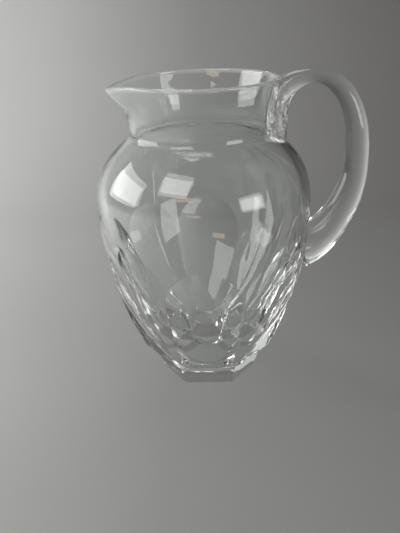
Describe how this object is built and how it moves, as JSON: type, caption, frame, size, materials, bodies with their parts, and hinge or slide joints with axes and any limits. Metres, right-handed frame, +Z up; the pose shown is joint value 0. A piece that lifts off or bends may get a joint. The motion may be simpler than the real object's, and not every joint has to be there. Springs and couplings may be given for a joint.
{
  "type": "glass pitcher",
  "caption": "Cut crystal pitcher with a hexagonal foot, tall round-topped flats, a round shoulder, a flared neck with a pulled spout and an applied solid glass handle; open at the top.",
  "frame": {"origin": "middle of the foot's underside, where the pitcher stands", "axes": "+Z up, -X towards the spout, +X towards the handle, -Y out of one flat of the hexagonal foot"},
  "size_m": [0.1981, 0.1566, 0.2298],
  "materials": {
    "crystal_vessel": "clear polished crystal glass, moulded and wheel cut",
    "crystal_handle": "clear fire-polished crystal glass, drawn and applied hot"
  },
  "bodies": {
    "root": {"vessel": "crystal_vessel", "handle": "crystal_handle"}
  },
  "joints": []
}
